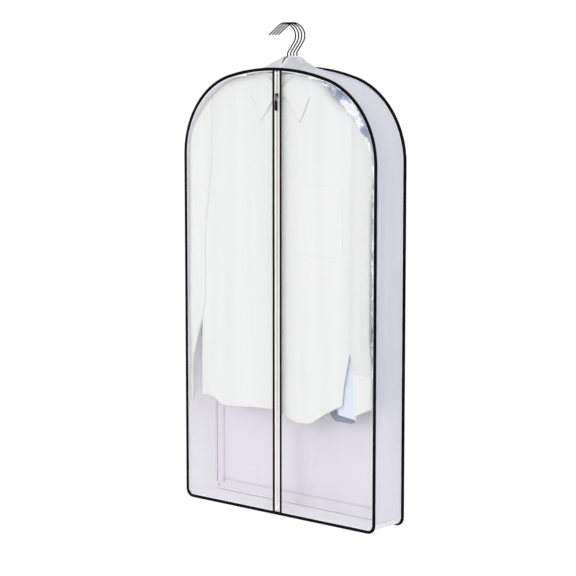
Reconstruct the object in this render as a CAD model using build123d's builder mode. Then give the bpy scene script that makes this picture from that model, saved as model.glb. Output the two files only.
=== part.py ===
"""Clear-front garment bag with a zip, hanging by the hooks of four loaded hangers.

Millimetres. +Z is up, +X is to the right as seen from the front, +Y goes to the back.
The origin is the rail point: the inner top of the hooks, half way through the bag's depth.
"""

import os
from math import atan2, cos, degrees, radians, sin, sqrt

from build123d import *

os.makedirs("parts", exist_ok=True)

# the bag's outline, along the middle of its bindings
bag_width = 610.0
bag_height = 1092.0
bag_depth = 110.0
apex_z = -108.0
shoulder_radius = 205.0
crown_radius = 583.0
foot_radius = 18.0
bottom_z = apex_z - bag_height
front_y = -bag_depth / 2
back_y = bag_depth / 2

# skins and bindings
film_thick = 0.5
panel_thick = 0.8
binding_width = 6.5
binding_depth = 5.5
binding_round = 1.6
gusset_inset = 0.6

# the raised mouth that the hooks come out of
mouth_base = 80.0
mouth_half_x = 7.5
mouth_half_y = 36.0
mouth_top_z = apex_z + 28.0
mouth_slit = 0.5
mouth_hem = 2.4

# the zip
coil_gap = 0.8
coil_edge = 3.4
coil_depth = 2.2
tape_edge = 10.5
tape_thick = 0.6
strip_inner = 8.2
strip_outer = 14.6
strip_thick = 1.2
top_stop_z = apex_z - 12.0
bottom_stop_z = bottom_z + 14.0
stop_height = 4.0

# the zip's slider and its pull
slider_z = apex_z - 64.0
slider_half_width = 4.8
slider_length = 12.0
plate_thick = 1.2
plate_gap = 3.0
post_half = 0.5
flange_thick = 1.0
flange_clear = 0.4
link_wire = 1.3
link_y = front_y - 4.2
link_half_width = 3.4
link_height = 9.0
bridge_half = 1.2
bridge_thick = 0.9
tab_width = 6.6
tab_length = 24.0
tab_thick = 2.0
eye_radius = 1.9
eye_clear = 0.08
eye_half = 1.4

# hangers and hooks
hanger_count = 4
hanger_pitch = 11.3
hook_wire = 3.2
hook_turn = 35.0
hook_base_z = apex_z + 30.8
hook_lean = 31.0
bend_radius = 12.0
crook_radius = 31.3
crook_x = -12.0
top_from = 75.0
top_bend = 15.4
tip_from = 133.0
tip_length = 36.5
neck_radius = 4.0
neck_top_z = apex_z + 24.0
neck_foot_z = apex_z - 30.0
bore_clear = 0.05
head_radius = 2.7
head_height = 2.0
head_clear = 0.3
hanger_half = 205.0
hanger_thick = 5.0
arm_height = 12.0
arm_drop = 46.0

# shirts
cloth = 1.0
shirt_margin = 9.0
shirt_left = -258.0
shirt_right = 226.0
shirt_half_depth = 4.0
first_fullness = 27.5
last_fullness = 10.0
hem_z = apex_z - 840.0
hem_rise = 45.0
neck_half = 60.0
collar_top_z = apex_z - 13.0
collar_height = 18.0
collar_gap = 0.2
collar_band = 0.6
leaf_thick = 1.2
leaf_half_top = 52.0
leaf_tip_x = 62.0
leaf_drop = 112.0
leaf_side_x = 94.0
leaf_side_drop = 44.0
leaf_meet_drop = 34.0
sleeve_gap = 3.0
cuff_height = 70.0
left_cuff_z = hem_z + 2.0
right_cuff_z = hem_z + 48.0
button_count = 7
button_radius = 5.0
button_thick = 1.2

# places worked out from the sizes above
crown_z = apex_z - crown_radius
shoulder_x = bag_width / 2 - shoulder_radius
shoulder_z = crown_z + sqrt((crown_radius - shoulder_radius) ** 2 - shoulder_x**2)
shoulder_angle = degrees(atan2(shoulder_z - crown_z, shoulder_x))
inner_edge = -binding_width / 2
gusset_half_y = bag_depth / 2 - binding_depth / 2
rows = range(1, hanger_count + 1)


def hanger_y(row):
    """Depth of one hanger's hook and neck."""
    return (row - (hanger_count + 1) / 2) * hanger_pitch


def upright(y):
    """Upright plane at depth y: local x is +X, local y is +Z, extrusion comes forward."""
    return Plane.XZ.offset(-y)


def bag_outline(grow, mode=Mode.ADD):
    """The bag's front as a face, grown by this much from the middle of the binding."""
    side = bag_width / 2 + grow
    foot_x = bag_width / 2 - foot_radius
    foot_z = bottom_z + foot_radius
    with BuildLine() as edge:
        CenterArc((shoulder_x, shoulder_z), shoulder_radius + grow, 0, shoulder_angle)
        CenterArc((0, crown_z), crown_radius + grow, shoulder_angle, 180 - 2 * shoulder_angle)
        CenterArc((-shoulder_x, shoulder_z), shoulder_radius + grow, 180 - shoulder_angle, shoulder_angle)
        Line((-side, shoulder_z), (-side, foot_z))
        CenterArc((-foot_x, foot_z), foot_radius + grow, 180, 90)
        Line((-foot_x, bottom_z - grow), (foot_x, bottom_z - grow))
        CenterArc((foot_x, foot_z), foot_radius + grow, 270, 90)
        Line((side, foot_z), (side, shoulder_z))
    make_face(edge.edges(), mode=mode)


def keep_box(x0, x1, z0, z1):
    """Keep what a sketch has between these limits."""
    with Locations(((x0 + x1) / 2, (z0 + z1) / 2)):
        Rectangle(x1 - x0, z1 - z0, mode=Mode.INTERSECT)


def save(builder, name):
    """Label one finished piece and write it."""
    builder.part.label = name
    export_step(builder.part, f"parts/{name}.step")


# ---- bindings, panels and film --------------------------------------------------------

for name, middle in (("front_binding", front_y), ("back_binding", back_y)):
    with BuildPart() as binding:
        with BuildSketch(upright(middle + binding_depth / 2)):
            bag_outline(binding_width / 2)
            bag_outline(inner_edge, mode=Mode.SUBTRACT)
        extrude(amount=binding_depth)
        rims = binding.edges().group_by(Axis.Y)
        fillet(rims[0] + rims[-1], binding_round)
    save(binding, name)

with BuildPart() as back_panel:
    with BuildSketch(upright(back_y + panel_thick / 2)):
        bag_outline(inner_edge)
    extrude(amount=panel_thick)
save(back_panel, "back_panel")

for name, side in (("left", -1), ("right", 1)):
    edges = sorted((side * tape_edge, side * bag_width / 2))
    with BuildPart() as front_film:
        with BuildSketch(upright(front_y + film_thick / 2)):
            bag_outline(inner_edge)
            keep_box(*edges, bottom_z, apex_z)
        extrude(amount=film_thick)
    save(front_film, f"front_film_{name}")


def gusset_band(x0, x1, z0, z1):
    """Stretch of the band that joins the two bindings, between these limits."""
    with BuildSketch(upright(gusset_half_y)) as band:
        bag_outline(-gusset_inset)
        bag_outline(-gusset_inset - panel_thick, mode=Mode.SUBTRACT)
        keep_box(x0, x1, z0, z1)
    extrude(band.sketch, amount=2 * gusset_half_y)


def mouth_wall(side, shrink_x, shrink_y, start, mode):
    """Half of the raised mouth as a solid from x = start outwards, shrunk by these amounts."""
    rise = (mouth_top_z - mouth_base_z) / (mouth_base - mouth_half_x)
    bend_z = apex_z + binding_width / 2 + 0.2
    bend_x = mouth_base - (bend_z - mouth_base_z) / rise
    sections = (
        (mouth_base_z, mouth_base, gusset_half_y),
        (bend_z, bend_x, gusset_half_y),
        (mouth_top_z, mouth_half_x, mouth_half_y),
    )
    levels = []
    for z, reach, half_y in sections:
        reach = reach - shrink_x
        with BuildSketch(Plane.XY.offset(z)) as level:
            with Locations((side * (start + reach) / 2, 0)):
                Rectangle(reach - start, 2 * (half_y - shrink_y))
        levels.append(level.sketch)
    loft(levels, ruled=True, mode=mode)


mouth_base_z = crown_z + sqrt((crown_radius - gusset_inset - panel_thick) ** 2 - mouth_base**2)
wall_x = 1.8
wall_y = 0.9

for name, side in (("left", -1), ("right", 1)):
    edges = sorted((side * (mouth_base - 0.5), side * bag_width / 2))
    with BuildPart() as gusset:
        gusset_band(*edges, bottom_z + foot_radius, apex_z)
        mouth_wall(side, 0, 0, mouth_slit, Mode.ADD)
        with BuildSketch(Plane.XY.offset(mouth_top_z)):
            with Locations((side * (mouth_slit + mouth_half_x) / 2, 0)):
                Rectangle(mouth_half_x - mouth_slit, 2 * mouth_half_y)
        extrude(amount=mouth_hem)
        mouth_wall(side, wall_x, wall_y, -mouth_slit, Mode.SUBTRACT)
        with BuildSketch(Plane.XY.offset(mouth_top_z)):
            with Locations((side * (mouth_half_x - wall_x) / 2, 0)):
                Rectangle(mouth_half_x - wall_x, 2 * (mouth_half_y - wall_y))
        extrude(amount=mouth_hem, mode=Mode.SUBTRACT)
    save(gusset, f"gusset_{name}")

with BuildPart() as gusset_bottom:
    gusset_band(-bag_width / 2, bag_width / 2, bottom_z, bottom_z + foot_radius)
save(gusset_bottom, "gusset_bottom")

# ---- zip ------------------------------------------------------------------------------

for name, side in (("left", -1), ("right", 1)):
    with BuildPart() as zip_tape:
        with BuildSketch(upright(front_y + tape_thick / 2)):
            bag_outline(inner_edge)
            keep_box(*sorted((side * coil_edge, side * tape_edge)), bottom_z, apex_z)
        extrude(amount=tape_thick)
    save(zip_tape, f"zip_tape_{name}")

    with BuildPart() as zip_strip:
        with BuildSketch(upright(front_y - tape_thick / 2)):
            bag_outline(inner_edge)
            keep_box(*sorted((side * strip_inner, side * strip_outer)), bottom_z, apex_z)
        extrude(amount=strip_thick)
    save(zip_strip, f"zip_strip_{name}")

    with BuildPart() as zip_coil:
        with BuildSketch(Plane.XY.offset(bottom_stop_z + stop_height)):
            with Locations((side * (coil_gap + coil_edge) / 2, front_y)):
                RectangleRounded(coil_edge - coil_gap, coil_depth, 0.6)
        extrude(amount=top_stop_z - bottom_stop_z - stop_height)
    save(zip_coil, f"zip_coil_{name}")

with BuildPart() as zip_top_stops:
    with BuildSketch(Plane.XY.offset(top_stop_z)):
        for side in (-1, 1):
            with Locations((side * (coil_gap + coil_edge) / 2, front_y)):
                RectangleRounded(coil_edge - coil_gap, coil_depth + 1.0, 0.6)
    extrude(amount=stop_height)
save(zip_top_stops, "zip_top_stops")

with BuildPart() as zip_bottom_stop:
    with BuildSketch(Plane.XY.offset(bottom_stop_z)):
        with Locations((0, front_y)):
            RectangleRounded(2 * coil_edge, coil_depth + 1.0, 0.8)
    extrude(amount=stop_height)
save(zip_bottom_stop, "zip_bottom_stop")

# ---- slider, link and tab -------------------------------------------------------------

plate_face = front_y - plate_gap / 2
tape_face = front_y - tape_thick / 2

with BuildPart() as zip_slider:
    for y in (plate_face, -plate_face + 2 * front_y + plate_thick):
        with BuildSketch(upright(y)):
            with Locations((0, slider_z)):
                RectangleRounded(2 * slider_half_width, slider_length, 2.0)
        extrude(amount=plate_thick)
    with BuildSketch(upright(front_y + plate_gap / 2)):
        with Locations((0, slider_z + slider_length / 2 - 2.2)):
            Rectangle(2 * post_half, 3.0)
    extrude(amount=plate_gap)
    flange_depth = tape_face - flange_clear - plate_face
    for y in (tape_face - flange_clear, 2 * front_y - plate_face):
        with BuildSketch(upright(y)):
            with Locations(*((side * (slider_half_width - flange_thick / 2), slider_z) for side in (-1, 1))):
                Rectangle(flange_thick, slider_length - 4.0)
        extrude(amount=flange_depth)
    plate_front = plate_face - plate_thick
    bridge_out = plate_front - (link_y - link_wire / 2 - 0.2)
    with BuildSketch(upright(plate_front)):
        with Locations((0, slider_z + 3.2), (0, slider_z - 3.2)):
            Rectangle(2 * bridge_half, bridge_thick * 1.4)
    extrude(amount=bridge_out + bridge_thick)
    with BuildSketch(upright(plate_front - bridge_out)):
        with Locations((0, slider_z)):
            Rectangle(2 * bridge_half, 6.4)
    extrude(amount=bridge_thick)
save(zip_slider, "zip_slider")

with BuildSketch(upright(link_y)) as link_window:
    with Locations((0, slider_z - link_height / 2)):
        RectangleRounded(2 * link_half_width, link_height, 0.9)
link_ring = link_window.sketch.face().outer_wire()

with BuildPart() as pull_link:
    with BuildSketch(Plane(origin=link_ring @ 0, z_dir=link_ring % 0)):
        Circle(link_wire / 2)
    sweep(path=link_ring)
save(pull_link, "pull_link")

tab_eye_z = slider_z - link_height
with BuildPart() as pull_tab:
    with BuildSketch(Plane.YZ.offset(-eye_half)):
        with Locations((link_y, tab_eye_z)):
            Circle(eye_radius)
    extrude(amount=2 * eye_half)
    with BuildSketch(upright(link_y + tab_thick / 2)):
        with Locations((0, tab_eye_z - 1.8)):
            Rectangle(2 * eye_half, 2.8)
        with Locations((0, tab_eye_z - 2.6 - tab_length / 2)):
            RectangleRounded(tab_width, tab_length, 1.4)
    extrude(amount=tab_thick)
    with BuildSketch(Plane.YZ.offset(-eye_half)):
        with Locations((link_y, tab_eye_z)):
            Circle(link_wire / 2 + eye_clear)
    extrude(amount=2 * eye_half, mode=Mode.SUBTRACT)
save(pull_tab, "pull_tab")

# ---- hangers and hooks ----------------------------------------------------------------

head_z = neck_foot_z + 8.0
for row in rows:
    turn = radians(hook_turn)
    hook_plane = Plane(
        origin=(0, hanger_y(row), hook_base_z),
        x_dir=(cos(turn), sin(turn), 0),
        z_dir=(sin(turn), -cos(turn), 0),
    )
    lean = radians(hook_lean)
    top_y = hook_wire / 2 - top_bend - hook_base_z
    top_x = crook_x + (crook_radius - top_bend) * cos(radians(top_from))
    crook_height = top_y - (crook_radius - top_bend) * sin(radians(top_from))
    crook_start = (crook_x + crook_radius * cos(lean), crook_height - crook_radius * sin(lean))
    bend_end_x = bend_radius * (1 - cos(lean))
    rise_length = (crook_start[0] - bend_end_x) / sin(lean)
    shank_top = crook_start[1] - rise_length * cos(lean) - bend_radius * sin(lean)
    with BuildPart() as hook:
        with BuildLine(hook_plane):
            shank = Line((0, head_z - hook_base_z), (0, shank_top))
            bend = JernArc((0, shank_top), (0, 1), bend_radius, -hook_lean)
            Line((bend_end_x, shank_top + bend_radius * sin(lean)), crook_start)
            CenterArc((crook_x, crook_height), crook_radius, -hook_lean, hook_lean + top_from)
            hook_top = CenterArc((top_x, top_y), top_bend, top_from, tip_from - top_from)
            tip = Line(hook_top @ 1, hook_top @ 1 + (hook_top % 1) * tip_length)
        with BuildSketch(Plane(origin=shank @ 0, z_dir=(0, 0, 1))):
            Circle(hook_wire / 2)
        sweep()
        with BuildSketch(Plane.XY.offset(head_z - head_height)):
            with Locations((0, hanger_y(row))):
                Circle(head_radius)
        extrude(amount=head_height)
    save(hook, f"hook_{row}")

    with BuildPart() as hanger:
        with BuildSketch(upright(hanger_y(row) + hanger_thick / 2)):
            ridge_z = neck_foot_z + 6.0
            Polygon(
                (0, ridge_z),
                (hanger_half, ridge_z - arm_drop),
                (hanger_half, ridge_z - arm_drop - arm_height),
                (0, ridge_z - arm_height - 6.0),
                (-hanger_half, ridge_z - arm_drop - arm_height),
                (-hanger_half, ridge_z - arm_drop),
                align=None,
            )
        extrude(amount=hanger_thick)
        with BuildSketch(Plane.XY.offset(neck_foot_z)):
            with Locations((0, hanger_y(row))):
                Circle(neck_radius)
        extrude(amount=neck_top_z - neck_foot_z)
        with BuildSketch(Plane.XY.offset(head_z - head_height - head_clear)):
            with Locations((0, hanger_y(row))):
                Circle(head_radius + 0.2)
        extrude(amount=head_height + 2 * head_clear, mode=Mode.SUBTRACT)
        with BuildSketch(Plane.XY.offset(head_z)):
            with Locations((0, hanger_y(row))):
                Circle(hook_wire / 2 + bore_clear)
        extrude(amount=neck_top_z - head_z, mode=Mode.SUBTRACT)
    save(hanger, f"hanger_{row}")

# ---- shirts ---------------------------------------------------------------------------

sleeve_outer = bag_width / 2 - shirt_margin
sleeves = (
    ("left", -sleeve_outer, shirt_left - sleeve_gap, left_cuff_z),
    ("right", shirt_right + sleeve_gap, sleeve_outer, right_cuff_z),
)

for row in rows:
    fullness_front = first_fullness if row == 1 else 0.0
    fullness_back = last_fullness if row == hanger_count else 0.0
    shirt_front = hanger_y(row) - shirt_half_depth - fullness_front
    shirt_back = hanger_y(row) + shirt_half_depth + fullness_back
    shirt_depth = shirt_back - shirt_front

    with BuildPart() as shirt_body:
        with BuildSketch(upright(shirt_back)):
            bag_outline(-shirt_margin)
            with BuildLine():
                Line((shirt_left, apex_z), (shirt_right, apex_z))
                Line((shirt_right, apex_z), (shirt_right, hem_z + hem_rise))
                ThreePointArc((shirt_right, hem_z + hem_rise), (0, hem_z), (shirt_left, hem_z + hem_rise))
                Line((shirt_left, hem_z + hem_rise), (shirt_left, apex_z))
            make_face(mode=Mode.INTERSECT)
        extrude(amount=shirt_depth)
        with BuildSketch(upright(shirt_back - cloth)):
            bag_outline(-shirt_margin - cloth)
            keep_box(shirt_left + cloth, shirt_right - cloth, hem_z - hem_rise, apex_z)
        extrude(amount=shirt_depth - 2 * cloth, mode=Mode.SUBTRACT)
        with BuildSketch(upright(shirt_back)):
            with Locations((0, collar_top_z - collar_height)):
                Rectangle(2 * neck_half, collar_height + shirt_margin, align=(Align.CENTER, Align.MIN))
        extrude(amount=shirt_depth, mode=Mode.SUBTRACT)
    save(shirt_body, f"shirt_{row}_body")

    with BuildPart() as collar:
        collar_y = (shirt_front + shirt_back) / 2
        half_y = shirt_depth / 2 + collar_gap + 0.5
        with BuildSketch(Plane.XY.offset(collar_top_z - collar_height + collar_gap)):
            with Locations((0, collar_y)):
                Ellipse(neck_half - 1.0, half_y)
                Ellipse(neck_half - 1.0 - collar_band, half_y - collar_band, mode=Mode.SUBTRACT)
        extrude(amount=collar_height)
        leaf_top = collar_top_z + collar_gap
        with BuildSketch(upright(shirt_front - collar_gap)):
            for side in (-1, 1):
                Polygon(
                    (0.0, leaf_top),
                    (side * leaf_half_top, leaf_top - 4.0),
                    (side * leaf_side_x, leaf_top - leaf_side_drop),
                    (side * leaf_tip_x, leaf_top - leaf_drop),
                    (side * 2.0, leaf_top - leaf_meet_drop),
                    (0.0, leaf_top - leaf_meet_drop + 4.0),
                    align=None,
                )
        extrude(amount=leaf_thick)
    save(collar, f"shirt_{row}_collar")

    for name, low_x, high_x, cuff_z in sleeves:
        with BuildPart() as sleeve:
            with BuildSketch(upright(shirt_back - cloth)):
                bag_outline(-shirt_margin)
                keep_box(low_x, high_x, cuff_z + cuff_height, apex_z)
            extrude(amount=shirt_depth - 2 * cloth)
        save(sleeve, f"shirt_{row}_sleeve_{name}")

    with BuildPart() as cuffs:
        for name, low_x, high_x, cuff_z in sleeves:
            with BuildSketch(upright(shirt_back)):
                with Locations(((low_x + high_x) / 2, cuff_z + cuff_height / 2)):
                    Rectangle(high_x - low_x, cuff_height)
            extrude(amount=shirt_depth)
    save(cuffs, f"shirt_{row}_cuffs")

    with BuildPart() as buttons:
        with BuildSketch(upright(shirt_front)):
            spacing = (collar_top_z - 60.0 - hem_z - 90.0) / (button_count - 1)
            with Locations(*((0, collar_top_z - 60.0 - i * spacing) for i in range(button_count))):
                Circle(button_radius)
        extrude(amount=button_thick)
    save(buttons, f"shirt_{row}_buttons")
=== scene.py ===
"""Looks of the garment bag: clear film, lavender film, bindings, zip, hooks and shirts.

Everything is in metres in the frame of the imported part: +Z up, +Y to the back, the origin at
the inner top of the hooks.
"""

from math import atan2, cos, pi, radians, sin, sqrt

import bpy
import numpy as np
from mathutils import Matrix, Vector, noise
from mathutils.bvhtree import BVHTree


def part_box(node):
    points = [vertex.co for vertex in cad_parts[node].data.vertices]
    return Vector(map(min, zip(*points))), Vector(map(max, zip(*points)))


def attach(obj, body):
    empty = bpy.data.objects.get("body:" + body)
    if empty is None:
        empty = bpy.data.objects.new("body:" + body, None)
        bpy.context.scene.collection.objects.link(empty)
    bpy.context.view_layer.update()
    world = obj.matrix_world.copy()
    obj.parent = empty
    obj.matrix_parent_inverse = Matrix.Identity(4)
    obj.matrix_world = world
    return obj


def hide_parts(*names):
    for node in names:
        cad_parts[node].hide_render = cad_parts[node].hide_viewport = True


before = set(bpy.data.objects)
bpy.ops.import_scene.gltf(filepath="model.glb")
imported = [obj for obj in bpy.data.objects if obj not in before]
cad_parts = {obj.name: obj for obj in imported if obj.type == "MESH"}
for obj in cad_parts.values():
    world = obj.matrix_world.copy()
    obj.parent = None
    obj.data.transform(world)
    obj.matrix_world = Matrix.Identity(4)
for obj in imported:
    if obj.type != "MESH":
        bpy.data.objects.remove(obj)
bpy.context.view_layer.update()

# ---- the bag's outline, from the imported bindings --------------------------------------

front_low, front_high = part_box("front_binding")
back_low, back_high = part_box("back_binding")
BINDING_WIDTH = 0.0065
HALF_BINDING = BINDING_WIDTH / 2
SHOULDER_RADIUS = 0.205
CROWN_RADIUS = 0.583
FOOT_RADIUS = 0.018

HALF_WIDTH = front_high.x - HALF_BINDING
APEX_Z = front_high.z - HALF_BINDING
BOTTOM_Z = front_low.z + HALF_BINDING
FRONT_Y = (front_low.y + front_high.y) / 2
BACK_Y = (back_low.y + back_high.y) / 2
BINDING_DEPTH = front_high.y - front_low.y
GUSSET_HALF_Y = back_low.y

CROWN_Z = APEX_Z - CROWN_RADIUS
SHOULDER_X = HALF_WIDTH - SHOULDER_RADIUS
SHOULDER_Z = CROWN_Z + sqrt((CROWN_RADIUS - SHOULDER_RADIUS) ** 2 - SHOULDER_X**2)
SHOULDER_ANGLE = atan2(SHOULDER_Z - CROWN_Z, SHOULDER_X)
FOOT_X = HALF_WIDTH - FOOT_RADIUS
FOOT_Z = BOTTOM_Z + FOOT_RADIUS

FOOT_ARC = FOOT_RADIUS * pi / 2
SIDE_RUN = SHOULDER_Z - FOOT_Z
SHOULDER_ARC = SHOULDER_RADIUS * SHOULDER_ANGLE
CROWN_ARC = CROWN_RADIUS * (pi / 2 - SHOULDER_ANGLE)
HALF_LENGTH = FOOT_X + FOOT_ARC + SIDE_RUN + SHOULDER_ARC + CROWN_ARC


def edge(s, grow=0.0):
    """Points and outward directions on the right half of the outline, s from the bottom centre."""
    s = np.asarray(s, float)
    foot = np.clip((s - FOOT_X) / FOOT_RADIUS, 0, pi / 2) - pi / 2
    shoulder = np.clip((s - FOOT_X - FOOT_ARC - SIDE_RUN) / SHOULDER_RADIUS, 0, SHOULDER_ANGLE)
    crown = np.clip((s - FOOT_X - FOOT_ARC - SIDE_RUN - SHOULDER_ARC) / CROWN_RADIUS, 0, None)
    turn = np.where(s < FOOT_X + FOOT_ARC, foot, shoulder + crown)
    out = np.stack([np.cos(turn), np.sin(turn)], -1)
    bottom = np.stack([np.clip(s, 0, FOOT_X), np.full_like(s, FOOT_Z)], -1) + FOOT_RADIUS * out
    rise = np.clip(s - FOOT_X - FOOT_ARC, 0, SIDE_RUN)
    side = np.stack([np.full_like(s, HALF_WIDTH), FOOT_Z + rise], -1)
    arch = np.array([SHOULDER_X, SHOULDER_Z]) + SHOULDER_RADIUS * out
    top = np.array([0.0, CROWN_Z]) + CROWN_RADIUS * out
    point = np.where((s < FOOT_X + FOOT_ARC)[..., None], bottom, side)
    point = np.where((s >= FOOT_X + FOOT_ARC + SIDE_RUN)[..., None], arch, point)
    point = np.where((s >= HALF_LENGTH - CROWN_ARC)[..., None], top, point)
    return point + grow * out, out


def whole_edge(s, grow):
    """Points and directions all round the outline; negative s is the left half."""
    point, out = edge(np.abs(s), grow)
    sign = np.where(np.asarray(s) < 0, -1.0, 1.0)
    return point * np.stack([sign, np.ones_like(sign)], -1), out * np.stack([sign, np.ones_like(sign)], -1)


def arch_z(x, grow=0.0):
    """Height of the arched top at x, grown by this much."""
    x = np.abs(np.asarray(x, float))
    crown = CROWN_RADIUS + grow
    shoulder = SHOULDER_RADIUS + grow
    join = crown * cos(SHOULDER_ANGLE)
    over_crown = CROWN_Z + np.sqrt(np.clip(crown**2 - x**2, 0, None))
    over_shoulder = SHOULDER_Z + np.sqrt(np.clip(shoulder**2 - (x - SHOULDER_X) ** 2, 0, None))
    return np.where(x < join, over_crown, over_shoulder)


# ---- mesh and noise helpers -----------------------------------------------------------


def smooth(t, low=0.0, high=1.0):
    """0 below low, 1 above high, smooth between."""
    t = np.clip((np.asarray(t, float) - low) / (high - low), 0, 1)
    return t * t * (3 - 2 * t)


def ripple(*axes, seed=0.0):
    """Smooth noise from -1 to 1 at each point, where each axis is already scaled."""
    stacked = np.stack(np.broadcast_arrays(*axes), -1).reshape(-1, len(axes))
    values = [noise.noise(Vector((*p, 0.0)[:2] + (seed,))) for p in stacked]
    return np.array(values).reshape(np.broadcast(*axes).shape)


def mesh_piece(name, points, faces, body, material, shade=True):
    """A mesh that rides on a body, in one material."""
    mesh = bpy.data.meshes.new(name)
    mesh.from_pydata([tuple(p) for p in points], [], faces)
    mesh.update()
    piece = bpy.data.objects.new(name, mesh)
    bpy.context.scene.collection.objects.link(piece)
    mesh.materials.append(material)
    if shade:
        mesh.polygons.foreach_set("use_smooth", [True] * len(mesh.polygons))
    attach(piece, body)
    return piece


def grid_faces(rows, columns, wrap=False, start=0):
    """Quads of a grid of points, closed round its columns if wrap."""
    faces = []
    for i in range(rows - 1):
        for j in range(columns if wrap else columns - 1):
            k = (j + 1) % columns
            faces.append(
                (start + i * columns + j, start + i * columns + k,
                 start + (i + 1) * columns + k, start + (i + 1) * columns + j)
            )
    return faces


def grid_piece(name, points, body, material, wrap=False):
    """A piece from an array of points, rows by columns by three."""
    rows, columns = points.shape[:2]
    faces = grid_faces(rows, columns, wrap)
    return mesh_piece(name, points.reshape(-1, 3), faces, body, material)


def many_piece(name, groups, body, material, shade=True):
    """One piece from many small grids that are closed round their columns."""
    points, faces = [], []
    for grid in groups:
        rows, columns = grid.shape[:2]
        faces += grid_faces(rows, columns, True, len(points))
        faces.append(tuple(range(len(points) + columns - 1, len(points) - 1, -1)))
        last = len(points) + (rows - 1) * columns
        faces.append(tuple(range(last, last + columns)))
        points += list(grid.reshape(-1, 3))
    return mesh_piece(name, points, faces, body, material, shade)


# ---- materials ------------------------------------------------------------------------


def principled(name, color, roughness, **inputs):
    """A Principled material and its nodes."""
    material = bpy.data.materials.new(name)
    material.use_nodes = True
    shader = material.node_tree.nodes["Principled BSDF"]
    shader.inputs["Base Color"].default_value = (*color, 1)
    shader.inputs["Roughness"].default_value = roughness
    for key, value in inputs.items():
        shader.inputs[key.replace("_", " ")].default_value = value
    return material, material.node_tree, shader


def coordinates(tree, scale=(1, 1, 1)):
    """Object coordinates in metres, scaled."""
    place = tree.nodes.new("ShaderNodeTexCoord")
    mapping = tree.nodes.new("ShaderNodeMapping")
    mapping.inputs["Scale"].default_value = scale
    tree.links.new(place.outputs["Object"], mapping.inputs["Vector"])
    return mapping.outputs["Vector"]


def noise_node(tree, scale, detail=3.0, stretch=(1, 1, 1)):
    node = tree.nodes.new("ShaderNodeTexNoise")
    node.inputs["Scale"].default_value = scale
    node.inputs["Detail"].default_value = detail
    tree.links.new(coordinates(tree, stretch), node.inputs["Vector"])
    return node.outputs["Fac"]


def vary_color(tree, shader, factor, stops):
    """Colours the surface by a factor, with stops of (position, colour)."""
    ramp = tree.nodes.new("ShaderNodeValToRGB")
    while len(ramp.color_ramp.elements) < len(stops):
        ramp.color_ramp.elements.new(0.5)
    for element, (position, color) in zip(ramp.color_ramp.elements, stops):
        element.position = position
        element.color = (*color, 1)
    tree.links.new(factor, ramp.inputs["Fac"])
    tree.links.new(ramp.outputs["Color"], shader.inputs["Base Color"])


def vary_roughness(tree, shader, factor, low, high):
    span = tree.nodes.new("ShaderNodeMapRange")
    span.inputs["To Min"].default_value = low
    span.inputs["To Max"].default_value = high
    tree.links.new(factor, span.inputs["Value"])
    tree.links.new(span.outputs["Result"], shader.inputs["Roughness"])


def bump(tree, shader, height, strength, distance):
    node = tree.nodes.new("ShaderNodeBump")
    node.inputs["Strength"].default_value = strength
    node.inputs["Distance"].default_value = distance
    tree.links.new(height, node.inputs["Height"])
    tree.links.new(node.outputs["Normal"], shader.inputs["Normal"])


def weave_height(tree, pitch):
    """Height of a plain weave whose threads are this far apart."""
    bands = []
    for direction in ("X", "Z"):
        wave = tree.nodes.new("ShaderNodeTexWave")
        wave.bands_direction = direction
        wave.inputs["Scale"].default_value = 1 / (pitch * 20) * 2 * pi
        wave.inputs["Distortion"].default_value = 0.4
        tree.links.new(coordinates(tree), wave.inputs["Vector"])
        bands.append(wave.outputs["Fac"])
    join = tree.nodes.new("ShaderNodeMath")
    join.operation = "MULTIPLY"
    tree.links.new(bands[0], join.inputs[0])
    tree.links.new(bands[1], join.inputs[1])
    return join.outputs["Value"]


def shades(color, spread):
    """The same colour a little darker and a little lighter."""
    return tuple(c * (1 - spread) for c in color), tuple(min(1, c * (1 + spread)) for c in color)


def cloth_material(name, color, spread, roughness, pitch, strength, blotch=9.0, shine=0.5, fall=1.0):
    """Woven cloth: its tone varies by spread at the blotch's scale, stretched downwards if fall < 1."""
    material, tree, shader = principled(name, color, roughness, Specular_IOR_Level=shine)
    dark, light = shades(color, spread)
    vary_color(tree, shader, noise_node(tree, blotch, 2.0, (1, 1, fall)), [(0.36, dark), (0.64, light)])
    bump(tree, shader, weave_height(tree, pitch), strength, pitch * 0.4)
    return material


def shirt_material(name, color, spread=0.022, strength=0.12):
    """Fine shirt cloth whose tone varies in long vertical streaks: painted shade of soft folds."""
    return cloth_material(name, color, spread, 0.8, 0.0004, strength, 26.0, 0.3, 0.06)


def plastic_material(name, color, roughness, grain=900.0, **inputs):
    material, tree, shader = principled(name, color, roughness, **inputs)
    dark, light = shades(color, 0.06)
    vary_color(tree, shader, noise_node(tree, 25.0), [(0.3, dark), (0.7, light)])
    vary_roughness(tree, shader, noise_node(tree, 60.0), roughness * 0.8, roughness * 1.25)
    bump(tree, shader, noise_node(tree, grain), 0.08, 0.0002)
    return material


def metal_material(name, color, roughness, rim=(1, 1, 1, 1)):
    """Drawn or cast metal; rim is the tint where it is seen edge on."""
    material, tree, shader = principled(name, color, roughness, Metallic=1.0, Specular_Tint=rim)
    dark, light = shades(color, 0.12)
    vary_color(tree, shader, noise_node(tree, 140.0), [(0.3, dark), (0.7, light)])
    vary_roughness(tree, shader, noise_node(tree, 300.0, 5.0), roughness * 0.6, roughness * 1.6)
    bump(tree, shader, noise_node(tree, 700.0, 2.0, (1, 1, 0.1)), 0.04, 0.0001)
    return material


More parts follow.
